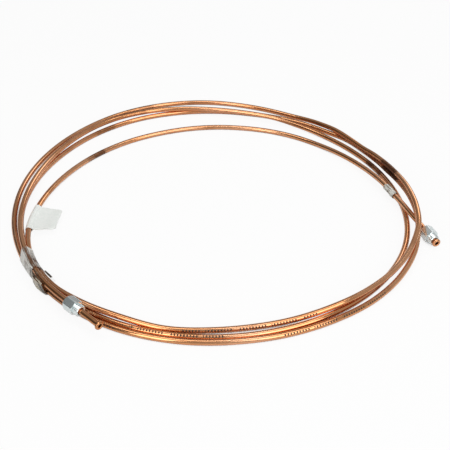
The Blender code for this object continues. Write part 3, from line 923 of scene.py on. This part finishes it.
def zinc_material():
    made, tree, shader = new_material("zinc_plating")
    wear = use_group(tree, FINE_WEAR, Scale=520.0, Softness=0.45)
    cloud = ramp(tree, wear.outputs["Cloud"], 0.35, 0.70)
    colour = mix_colour(tree, cloud, ZINC_SHADE, ZINC_BRIGHT)
    grains = ramp(tree, wear.outputs["Grain"], 0.60, 0.80, 0.0, 0.35)
    colour = mix_colour(tree, grains, colour, ZINC_GRAIN)
    tree.links.new(colour, shader.inputs["Base Color"])
    tree.links.new(ramp(tree, wear.outputs["Cloud"], 0.3, 0.7, 0.07, 0.15), shader.inputs["Roughness"])
    shader.inputs["Metallic"].default_value = 0.86
    bump(tree, wear.outputs["Cloud"], 0.10, 0.00002, shader)
    return made


ZINC = zinc_material()
print("material", ZINC.name)

# %% [markdown]
# Such a nut is commonly turned from one hexagon bar: a long cone on its rear, a groove
# behind a short threaded nose, a chamfered mouth and a plain bore.  The rows give the
# turned outline; wherever the hexagon is smaller than the outline, its flats show, so
# the cones leave the curved edges that a real chamfered hexagon has.  The thread is
# guessed, because it can't be made out in the photograph.

# %% Outline of a union nut
NUT_LENGTH = 0.0165
HEX_FLATS = 0.0110
NOSE_RADIUS = 0.00465
THREAD_FROM = 0.01255
THREAD_TO = 0.01555
THREAD_PITCH = 0.0010
THREAD_DEPTH = 0.00032
THREAD_STEP = 0.000083
THREAD_RUNOUT = 0.0004
THREAD_STEEPNESS = 1.25
NUT_OUTLINE = [
    # distance from the rear face, largest radius there
    (0.00000, 0.00285),
    (0.00000, 0.00440),
    (0.00008, 0.00462),
    (0.00040, 0.00492),
    (0.00080, 0.00527),
    (0.00120, 0.00560),
    (0.00160, 0.00591),
    (0.00200, 0.00614),
    (0.00235, 0.00624),
    (0.01070, 0.00624),
    (0.01092, 0.00616),
    (0.01112, 0.00594),
    (0.01125, 0.00565),
    (0.01130, 0.00525),
    (0.01132, 0.00425),
    (0.01140, 0.00415),
    (0.01215, 0.00415),
    (0.01230, 0.00424),
]
MOUTH_OUTLINE = [
    (0.01570, 0.00444),
    (0.01615, 0.00416),
    (0.01645, 0.00402),
    (0.01650, 0.00392),
    (0.01650, 0.00335),
    (0.01635, 0.00322),
    (0.01570, 0.00285),
    (0.01540, 0.002675),
    (0.00060, 0.002675),
]


def hexagon_reach(angle):
    """Distance from the middle of the hexagon to its side at this angle."""
    sixth = math.pi / 3.0
    local = (angle + 0.5 * sixth) % sixth - 0.5 * sixth
    return 0.5 * HEX_FLATS / math.cos(local)


def nut_rows():
    """Outline rows as distance, largest radius and whether the thread cuts there."""
    rows = [(along, limit, False) for along, limit in NUT_OUTLINE]
    steps = round((THREAD_TO - THREAD_FROM) / THREAD_STEP)
    for i in range(steps + 1):
        rows.append((THREAD_FROM + (THREAD_TO - THREAD_FROM) * i / steps, NOSE_RADIUS, True))
    rows.extend((along, limit, False) for along, limit in MOUTH_OUTLINE)
    return rows


def thread_cut(along, share_round):
    """Depth of the thread at this distance and share of a turn, fading at both ends."""
    phase = (along / THREAD_PITCH - share_round) % 1.0
    fade = min(1.0, (along - THREAD_FROM) / THREAD_RUNOUT, (THREAD_TO - along) / THREAD_RUNOUT)
    flank = min(1.0, abs(2.0 * phase - 1.0) * THREAD_STEEPNESS)
    return THREAD_DEPTH * max(0.0, fade) * flank


print("nut rows", len(nut_rows()))

# %% [markdown]
# The rows are carried round the pipe's direction and the last is joined to the first, so
# the nut is one closed ring with its bore.  Each nut can turn and slide on the pipe, so
# it rides on a body of its own.  Nut A sits close behind its flare, and nut B further
# back.

# %% Union nuts
NUT_TO_FACE = {"a": 0.0033, "b": 0.0220}
NUT_ROUND = 96


def make_union_nut(name, face, out, to_face):
    rear = face - out * (to_face + NUT_LENGTH)
    side = out.cross(Vector((0.0, 0.0, 1.0))).normalized()
    up = side.cross(out)
    rows = nut_rows()
    points = []
    for along, limit, threaded in rows:
        for i in range(NUT_ROUND):
            angle = 2.0 * math.pi * i / NUT_ROUND
            radius = min(limit, hexagon_reach(angle))
            if threaded:
                radius -= thread_cut(along, i / NUT_ROUND)
            spoke = side * math.cos(angle) + up * math.sin(angle)
            points.append(rear + out * along + spoke * radius)
    faces = []
    for k in range(len(rows)):
        here = k * NUT_ROUND
        after = (k + 1) % len(rows) * NUT_ROUND
        for i in range(NUT_ROUND):
            j = (i + 1) % NUT_ROUND
            faces.append((here + i, here + j, after + j, after + i))
    mesh = mesh_from(name, points, faces)
    made = make_object(name, mesh, ZINC, 28.0)
    print(name, "faces", len(mesh.polygons))
    return made


for letter, face, out in (("a", FACE_A, OUT_A), ("b", FACE_B, OUT_B)):
    nut = make_union_nut("brake_nut_" + letter, face, out, NUT_TO_FACE[letter])
    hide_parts("union_nut_" + letter)
    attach(nut, "nut_" + letter)

# %% [markdown]
# Paper and film are thin sheets.  Each is drawn as rows of points across the strip, with
# faces between one row and the next, and Solidify then gives it its thickness.  A strip
# that goes all the way round has closed rows.

# %% Thin sheets


def sheet_mesh(name, rows, closed):
    """Mesh of a strip without thickness, whose rows are rings or open lines."""
    count = len(rows[0])
    faces = []
    for i in range(len(rows) - 1):
        here = i * count
        after = here + count
        for k in range(count if closed else count - 1):
            j = (k + 1) % count
            faces.append((here + k, here + j, after + j, after + k))
    mesh = bpy.data.meshes.new(name)
    mesh.from_pydata([point for row in rows for point in row], [], faces)
    return mesh


def thicken(name, mesh, thickness, material, sharp):
    """Plain object of the sheet, with half of the thickness on each side."""
    holder = bpy.data.objects.new(name + "_holder", mesh)
    SCENE.collection.objects.link(holder)
    solid = holder.modifiers.new("thickness", "SOLIDIFY")
    solid.thickness = thickness
    solid.offset = 0.0
    made = finished(holder, name, material, sharp)
    print(name, "faces", len(made.data.polygons))
    return made


print("helpers for thin sheets are ready")

# %% [markdown]
# The flag is a paper label.  Paper is matt and nearly white, and its fibres show as a
# fine grain, so the shared fine wear drives its colour, its roughness and a small bump.
# It is left bare.

# %% Paper
PAPER_SHADE = (0.90, 0.94, 0.90)
PAPER_WHITE = (0.96, 0.98, 0.95)
PAPER_FIBRE = (0.74, 0.78, 0.73)


def paper_material():
    made, tree, shader = new_material("label_stock")
    fibre = use_group(tree, FINE_WEAR, Scale=1500.0, Softness=0.65)
    colour = mix_colour(tree, ramp(tree, fibre.outputs["Cloud"], 0.3, 0.7), PAPER_SHADE, PAPER_WHITE)
    fibres = ramp(tree, fibre.outputs["Grain"], 0.60, 0.85, 0.0, 0.30)
    colour = mix_colour(tree, fibres, colour, PAPER_FIBRE)
    tree.links.new(colour, shader.inputs["Base Color"])
    tree.links.new(ramp(tree, fibre.outputs["Cloud"], 0.3, 0.7, 0.42, 0.62), shader.inputs["Roughness"])
    bump(tree, fibre.outputs["Grain"], 0.25, 0.0001, shader)
    return made


PAPER = paper_material()
print("material", PAPER.name)

# %% [markdown]
# The label and the short tape go round a single pass, so they need to know how the pipe
# lies there.  For any angle turned this helper gives the pipe's centre, its direction
# and two directions across it, inward and up.

# %% How the pipe lies


def pipe_frame(turned):
    """Centre, direction along, horizontal inward and upward directions of the pipe."""
    centre = on_pipe(turned)
    along = (on_pipe(turned + 1.0) - on_pipe(turned - 1.0)).normalized()
    inward = COIL_CENTRE - centre
    inward.z = 0.0
    inward = (inward - along * inward.dot(along)).normalized()
    up = along.cross(inward)
    if up.z < 0.0:
        up = -up
    return centre, along, inward, up


print("at the label the pipe runs along", [round(part, 2) for part in pipe_frame(191.3)[1]])

# %% [markdown]
# The label is one strip, folded round the pipe and stuck to itself, so it is modelled as
# one open strip: out along the lower ply, round the pipe and back along the upper ply.
# It lies a little wavy, and its two free corners are rounded.

# %% Flag label
LABEL_FROM = 185.4
LABEL_TO = 197.2
LABEL_STEPS = 40
FLAG_LENGTH = 0.0205
FLAG_CORNER = 0.0040
FLAG_ROOT = 0.0011
FLAG_DROP = 0.0012
FLAG_WAVE = 0.00035
FLAG_CURL = 0.00045
FLAG_STEPS = 24
LABEL_STAND = 0.00036
LOOP_OPENING = math.radians(34.0)
LOOP_STEPS = 32
PLY_APART = 0.00012
PAPER_PLY = 0.00016


def label_row(share):
    """One cross-section of the strip: lower ply, round the pipe, upper ply."""
    turned = LABEL_FROM + (LABEL_TO - LABEL_FROM) * share
    centre, _, inward, up = pipe_frame(turned)
    width = (on_pipe(LABEL_TO) - on_pipe(LABEL_FROM)).length
    cut = max(0.0, FLAG_CORNER - min(share, 1.0 - share) * width)
    shorter = FLAG_CORNER - math.sqrt(max(0.0, FLAG_CORNER ** 2 - cut ** 2))
    reach = PIPE_RADIUS + LABEL_STAND
    far = FLAG_LENGTH - shorter
    flag = []
    for k in range(FLAG_STEPS + 1):
        t = k / FLAG_STEPS
        out = reach + FLAG_ROOT + (far - FLAG_ROOT) * t
        wave = FLAG_WAVE * math.sin(2.6 * t * math.pi + 2.2 * share) * t
        curl = FLAG_CURL * (share - 0.5) * t * t
        flag.append((out, -FLAG_DROP * t + wave + curl))
    row = [(x, z - PLY_APART) for x, z in reversed(flag)]
    for k in range(LOOP_STEPS + 1):
        angle = -LOOP_OPENING - (2.0 * math.pi - 2.0 * LOOP_OPENING) * k / LOOP_STEPS
        row.append((reach * math.cos(angle), reach * math.sin(angle)))
    row.extend((x, z + PLY_APART) for x, z in flag)
    return [centre + inward * x + up * z for x, z in row]


def make_flag_label():
    rows = [label_row(i / LABEL_STEPS) for i in range(LABEL_STEPS + 1)]
    mesh = sheet_mesh("flag_label", rows, closed=False)
    return thicken("flag_label", mesh, PAPER_PLY, PAPER, 50.0)


label = make_flag_label()
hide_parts("label")
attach(label, "coil")

# %% [markdown]
# Clear packing tape is a very thin film.  Over the copper it looks grey-brown and
# milky, with sharp small highlights along its creases.  The film's colour and a partly
# transparent alpha give the milky look, a low roughness and small painted highlights in
# the colour the highlights, and a bump made of cloudy noise the creases that are too
# fine to model.

# %% Tape film
LIP_BROWN = (0.07, 0.050, 0.035)
CREASE_DEPTH = 0.0008


def tape_material(name, clear, milk, alpha_clear, alpha_milk, crease_size):
    made, tree, shader = new_material(name)
    wear = use_group(tree, FINE_WEAR, Scale=420.0, Softness=0.6)
    milky = named(tree, "milk")
    ragged = ramp(tree, wear.outputs["Cloud"], 0.30, 0.70, -0.22, 0.22)
    broken = math_node(tree, "ADD", milky, ragged, clamp=True)
    colour = mix_colour(tree, broken, clear, milk)
    # Painted highlight: small paler spots laid into the film's colour.
    painted_glint = tuple(min(1.0, part * 1.3) for part in milk)
    colour = mix_colour(tree, ramp(tree, wear.outputs["Grain"], 0.58, 0.72, 0.0, 0.6), colour, painted_glint)
    colour = mix_colour(tree, ramp(tree, milky, 1.45, 1.75), colour, LIP_BROWN)
    tree.links.new(colour, shader.inputs["Base Color"])
    tree.links.new(ramp(tree, wear.outputs["Cloud"], 0.35, 0.65, 0.08, 0.22), shader.inputs["Roughness"])
    tree.links.new(ramp(tree, broken, 0.10, 0.90, alpha_clear, alpha_milk), shader.inputs["Alpha"])
    bump(tree, wear.outputs["Cloud"], crease_size, CREASE_DEPTH, shader)
    return made


BUNDLE_FILM = tape_material("bundle_film", (0.14, 0.09, 0.06), (0.84, 0.83, 0.78), 0.22, 0.86, 0.7)
LOOSE_FILM = tape_material("loose_film", (0.14, 0.10, 0.07), (0.60, 0.54, 0.42), 0.04, 0.84, 0.8)
END_FILM = tape_material("end_film", (0.26, 0.21, 0.15), (0.78, 0.77, 0.71), 0.45, 0.92, 0.6)
print("materials", BUNDLE_FILM.name, LOOSE_FILM.name, END_FILM.name)

# %% [markdown]
# Film is milky where air lies under it, and clear where it sticks.  Each strip has a
# formula for that, read at the angle round the bundle and the share of its width.  The
# value is stored on the points, and one over 1.75 asks for the dark curled lip.

# %% Milky patches
LIP_MILK = 2.2
LOOSE_OPENS = math.radians(-150.0)
LOOSE_LEAVES = math.radians(158.0)
LOOSE_ENDS = math.radians(191.0)
LIP_SHARE = 0.62


def milk_bundle(angle, share):
    """Milky down the outer side and in a narrower band at the inside, clear on top."""
    outer = max(0.0, math.cos(angle - math.radians(8.0))) ** 2.5
    inner = max(0.0, math.cos(angle - math.radians(148.0))) ** 4
    return 1.1 * outer + 0.75 * inner - 0.05


def milk_loose(angle, share):
    """Only the slack bulge at the outer foot and the dark curled lip show."""
    if angle > LOOSE_LEAVES and share < LIP_SHARE:
        return LIP_MILK
    outer = max(0.0, math.cos(angle + math.radians(12.0))) ** 3
    return 1.15 * outer - 0.08


def milk_end(angle, share):
    """Milky nearly everywhere, in bands across the strip."""
    return 0.72 + 0.25 * math.sin(9.0 * share + 2.0 * math.cos(angle))


print("milk of the bundle's outer side", round(milk_bundle(0.0, 0.5), 2))

# %% [markdown]
# A taut strip touches the outermost pass in every direction, so its section is found by
# asking, at each angle, which pass reaches furthest, and standing off from that one.
# Creases come from noise, and a second noise breaks the milky patches up.

# %% A strip of film
FILM_WALL = 0.00012
TAPE_STAND = 0.00046
FLOOR_CLEARANCE = 0.0001


def pass_centres(plan_angle):
    """Radius and height of every pass through the radial plane at this plan angle."""
    centres = []
    turned = plan_angle
    while turned <= TURNED_TO:
        centres.append(radius_and_height(turned))
        turned += 360.0
    return centres


def wrap_point(centres, angle, reach):
    """Where a taut strip round all passes touches, seen in the radial plane."""
    across = math.cos(angle)
    upward = math.sin(angle)
    best = max(centres, key=lambda centre: centre[0] * across + centre[1] * upward)
    return best[0] + reach * across, best[1] + reach * upward


def crease(seed, u, v, size):
    """Ragged creases between 0 and 1, longer across the strip than along it."""
    value = noise.fractal(Vector((u * size, v * size * 0.35, seed)), 0.9, 2.0, 4)
    return max(0.0, min(1.0, 0.5 + 0.9 * value))


def milk_values(rows, angles, milk):
    """The strip's milk at every point, with patches of noise that differ per strip."""
    first, last = angles
    values = []
    for i, row in enumerate(rows):
        share = i / len(rows)
        for k in range(len(row)):
            angle = first + (last - first) * k / len(row)
            spot = Vector((1.6 * share, 3.2 * math.cos(angle), 3.2 * math.sin(angle) + len(rows)))
            values.append(milk(angle, share) + 1.1 * noise.fractal(spot, 0.8, 2.0, 4))
    return values


def film_object(name, rows, closed, film, milk, angles):
    mesh = sheet_mesh(name, rows, closed)
    values = milk_values(rows, angles, milk)
    mesh.attributes.new("milk", "FLOAT", "POINT").data.foreach_set("value", values)
    return thicken(name, mesh, FILM_WALL, film, 60.0)


print("passes under the bundle tape", len(pass_centres(212.0)))

# %% [markdown]
# The bundle tape is wound tight and only crinkles, most of all on top.  The short tape
# on the run of end A sits a little slack on one side.  Each has its own pattern of
# creases, with a fixed seed, so it comes out the same every time.

# %% Tight strips
BUNDLE_FROM = 207.6
BUNDLE_TURN = 9.0
BUNDLE_STEPS = 48
BUNDLE_ROUND = 144
BUNDLE_CREASE = 0.00042
END_FROM = -1.0
END_TURN = 5.5
END_STEPS = 24
END_ROUND = 72
END_SLACK = 0.0005
END_CREASE = 0.00022


def bundle_rows():
    rows = []
    for i in range(BUNDLE_STEPS + 1):
        share = i / BUNDLE_STEPS
        plan = BUNDLE_FROM + BUNDLE_TURN * share
        centres = pass_centres(plan)
        row = []
        for k in range(BUNDLE_ROUND):
            angle = 2.0 * math.pi * k / BUNDLE_ROUND
            round_place = 5.0 * math.cos(angle) + 3.0 * math.sin(angle)
            lift = BUNDLE_CREASE * crease(1.7, share * 6.0, round_place, 1.0)
            lift *= 0.35 + 0.65 * max(0.0, math.sin(angle))
            radius, height = wrap_point(centres, angle, PIPE_RADIUS + TAPE_STAND + lift)
            row.append(place(plan, radius, max(height, FLOOR_CLEARANCE)))
        rows.append(row)
    return rows


def end_rows():
    rows = []
    for i in range(END_STEPS + 1):
        share = i / END_STEPS
        centre, _, inward, up = pipe_frame(END_FROM + END_TURN * share)
        row = []
        for k in range(END_ROUND):
            angle = 2.0 * math.pi * k / END_ROUND
            round_place = 2.0 * math.cos(angle) + 3.0 * math.sin(angle)
            slack = END_SLACK * max(0.0, math.cos(angle)) * (0.6 + 0.4 * math.sin(8.0 * share))
            slack += END_CREASE * crease(7.3, share * 3.0, round_place, 1.4)
            reach = PIPE_RADIUS + TAPE_STAND + slack
            row.append(centre + inward * (reach * math.cos(angle)) + up * (reach * math.sin(angle)))
        rows.append(row)
    return rows


print("rows of the tight strips", BUNDLE_STEPS + 1, "and", END_STEPS + 1)

# %% [markdown]
# The second strip is slack.  It bulges at the outer foot, leaves the bundle at the
# inside before it has closed, and its free end curls up there as a short lip.  The lip
# walks on in small steps and turns a little at each one.

# %% Slack strip
LOOSE_FROM = 217.2
LOOSE_TURN = 5.4
LOOSE_STEPS = 36
LOOSE_ROUND = 108
LOOSE_BULGE = 0.0020
LOOSE_CREASE = 0.00035
LIP_STAND = 0.00015
LIP_LENGTH = 0.0024
LIP_STEPS = 12
LIP_CURL = math.radians(9.2)


def lip_points(plan, centres, share):
    """The free end: it goes on from the last touch and curls."""
    radius, height = wrap_point(centres, LOOSE_LEAVES, PIPE_RADIUS + TAPE_STAND + LIP_STAND)
    heading = LOOSE_LEAVES + 0.5 * math.pi
    step = LIP_LENGTH * (0.6 + 0.4 * math.sin(math.pi * share)) / LIP_STEPS
    points = []
    for _ in range(LIP_STEPS):
        heading -= LIP_CURL
        radius += step * math.cos(heading)
        height += step * math.sin(heading)
        points.append(place(plan, radius, height))
    return points


def loose_rows():
    rows = []
    for i in range(LOOSE_STEPS + 1):
        share = i / LOOSE_STEPS
        plan = LOOSE_FROM + LOOSE_TURN * share
        centres = pass_centres(plan)
        bulge_here = 0.55 + 0.45 * math.sin(math.pi * share)
        row = []
        for k in range(LOOSE_ROUND + 1):
            angle = LOOSE_OPENS + (LOOSE_LEAVES - LOOSE_OPENS) * k / LOOSE_ROUND
            bulge = LOOSE_BULGE * max(0.0, math.cos(angle)) ** 2 * bulge_here
            lift = LOOSE_CREASE * crease(4.1, share * 4.0, 4.0 * angle, 1.0)
            reach = PIPE_RADIUS + TAPE_STAND + bulge + lift
            radius, height = wrap_point(centres, angle, reach)
            row.append(place(plan, radius, max(height, FLOOR_CLEARANCE)))
        rows.append(row + lip_points(plan, centres, share))
    return rows


print("rows of the slack strip", LOOSE_STEPS + 1)

# %% [markdown]
# Now the rows become three objects.  Each one replaces its piece of the imported model
# and rides on the coil.

# %% Put the strips on
FULL_TURN = (0.0, 2.0 * math.pi)
SLACK_TURN = (LOOSE_OPENS, LOOSE_ENDS)

for name, rows, closed, film, milk, angles, node, slot in (
    ("bundle_wrap", bundle_rows(), True, BUNDLE_FILM, milk_bundle, FULL_TURN, "bundle_tape", "tape_clear"),
    ("loose_wrap", loose_rows(), False, LOOSE_FILM, milk_loose, SLACK_TURN, "loose_tape", "tape_loose"),
    ("end_wrap", end_rows(), True, END_FILM, milk_end, FULL_TURN, "end_tape", "tape_short"),
):
    tape = film_object(name, rows, closed, film, milk, angles)
    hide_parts(node)
    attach(tape, "coil")

# %% [markdown]
# The coil rests on a plain pale floor.  The camera sees it white, because most of what
# it sees there glows, and only close to the pipe a short soft shadow stays, with painted
# brown shade in the narrowest gaps.  The metal mirrors a table instead, whose colour
# holds a painted pool of light near the coil and painted shade far off and to the left.

# %% Floor
FLOOR_HALF = 2.5
CONTACT_REACH = 0.006
TABLE_NEAR = 0.85
TABLE_FAR = 0.30
SHADOW_BROWN = (0.10, 0.045, 0.025)
FLOOR_GLOW = 0.90


def table_colour(tree, path, shade):
    """A pale table with a painted pool of light near the coil and painted shade far off and to the left,
    and painted brown shade in the narrowest gaps for the camera.
    """
    spot = add(tree, "ShaderNodeTexCoord").outputs["Object"]
    reach = add(tree, "ShaderNodeVectorMath", operation="LENGTH")
    tree.links.new(spot, reach.inputs[0])
    split = add(tree, "ShaderNodeSeparateXYZ")
    tree.links.new(spot, split.inputs[0])
    far = ramp(tree, reach.outputs["Value"], 0.22, 0.75)
    far = math_node(tree, "MAXIMUM", far, ramp(tree, split.outputs[0], -0.19, -0.45))
    # Painted light: bright near the coil, painted shade far off and to the left.
    table = mix_colour(tree, far, grey(TABLE_NEAR), grey(TABLE_FAR))
    # Painted shade: brown in the narrowest gaps, seen only by the camera.
    deep = times(tree, ramp(tree, shade.outputs["AO"], 0.16, 0.05), path.outputs["Is Camera Ray"])
    return mix_colour(tree, deep, table, SHADOW_BROWN)


def floor_material():
    made, tree, shader = new_material("floor_white")
    path = add(tree, "ShaderNodeLightPath")
    shade = add(tree, "ShaderNodeAmbientOcclusion", samples=8)
    shade.inputs["Distance"].default_value = CONTACT_REACH
    open_share = ramp(tree, shade.outputs["AO"], 0.06, 0.36)
    open_share = times(tree, open_share, path.outputs["Is Camera Ray"])
    tone = mix_colour(tree, open_share, table_colour(tree, path, shade), grey(0.95))
    tree.links.new(tone, shader.inputs["Base Color"])
    shader.inputs["Roughness"].default_value = 0.9
    shader.inputs["Specular IOR Level"].default_value = 0.0
    glow = add(tree, "ShaderNodeEmission")
    glow.inputs["Strength"].default_value = 1.0
    mix = add(tree, "ShaderNodeMixShader")
    tree.links.new(times(tree, open_share, FLOOR_GLOW), mix.inputs[0])
    tree.links.new(shader.outputs[0], mix.inputs[1])
    tree.links.new(glow.outputs[0], mix.inputs[2])
    tree.links.new(mix.outputs[0], tree.nodes["Material Output"].inputs["Surface"])
    return made


def make_floor():
    corners = [(-1, -1), (1, -1), (1, 1), (-1, 1)]
    mesh = bpy.data.meshes.new("floor")
    mesh.from_pydata([(x * FLOOR_HALF, y * FLOOR_HALF, 0.0) for x, y in corners], [], [(0, 1, 2, 3)])
    mesh.materials.append(floor_material())
    floor = bpy.data.objects.new("floor", mesh)
    SCENE.collection.objects.link(floor)
    return floor


FLOOR = make_floor()
print("stage piece", FLOOR.name)

# %% [markdown]
# Polished metal shows what stands round it, so the world matters as much as the lamps.
# It is white to the camera.  The metal mirrors a grey room instead, dark at the left and
# dimmer at the back, so that dark lines run along the tube between the highlights.

# %% Room
ROOM_TONE = 0.42
ROOM_DARK = 0.10
ROOM_SOFT = 0.36
BACK_DIM = 0.65


def make_world():
    world = bpy.data.worlds.new("studio")
    world.use_nodes = True
    SCENE.world = world
    tree = world.node_tree
    facing = add(tree, "ShaderNodeSeparateXYZ")
    tree.links.new(add(tree, "ShaderNodeTexCoord").outputs["Generated"], facing.inputs[0])
    lit = ramp(tree, facing.outputs[0], -0.82, -0.28)
    lit = times(tree, lit, ramp(tree, facing.outputs[1], 0.60, 0.85, 1.0, BACK_DIM))
    room = mix_colour(tree, lit, grey(ROOM_DARK), grey(ROOM_TONE))
    path = add(tree, "ShaderNodeLightPath")
    seen = mix_colour(tree, path.outputs["Is Glossy Ray"], grey(ROOM_SOFT), room)
    seen = mix_colour(tree, path.outputs["Is Camera Ray"], seen, grey(1.0))
    tree.links.new(seen, tree.nodes["Background"].inputs["Color"])
    tree.nodes["Background"].inputs["Strength"].default_value = 1.0
    return world


ROOM = make_world()
print("world", ROOM.name)

# %% [markdown]
# The lamps are large soft panels that all look at the middle of the coil: one at each
# side of the camera, two overhead and a weak one behind.  On a thin tube such a panel
# gives a long soft highlight, as a lamp behind a diffuser does in a studio.

# %% Lamps
PANELS = [
    # name, place, width and height, how bright it looks
    ("panel_front_left", (-0.569, -1.027, 0.762), (0.42, 1.10), 2.7),
    ("panel_front_right", (0.650, -0.928, 0.823), (0.80, 1.10), 2.3),
    ("panel_top_left", (-0.27, 0.10, 1.30), (0.28, 0.60), 3.4),
    ("panel_top_right", (0.30, 0.10, 1.30), (0.28, 0.60), 3.2),
    ("panel_back_right", (0.606, 1.050, 0.700), (0.50, 0.60), 1.7),
]


def make_lamp(name, place_at, size, radiance):
    """Soft panel whose power follows from its size and how bright it looks."""
    data = bpy.data.lights.new(name, "AREA")
    data.shape = "RECTANGLE"
    data.size, data.size_y = size
    data.energy = radiance * math.pi * size[0] * size[1]
    lamp = bpy.data.objects.new(name, data)
    lamp.location = place_at
    lamp.rotation_euler = (-Vector(place_at)).to_track_quat("-Z", "Y").to_euler()
    SCENE.collection.objects.link(lamp)
    print(name, "power", round(data.energy, 2))


for panel in PANELS:
    make_lamp(*panel)
SCENE.view_settings.view_transform = "Standard"
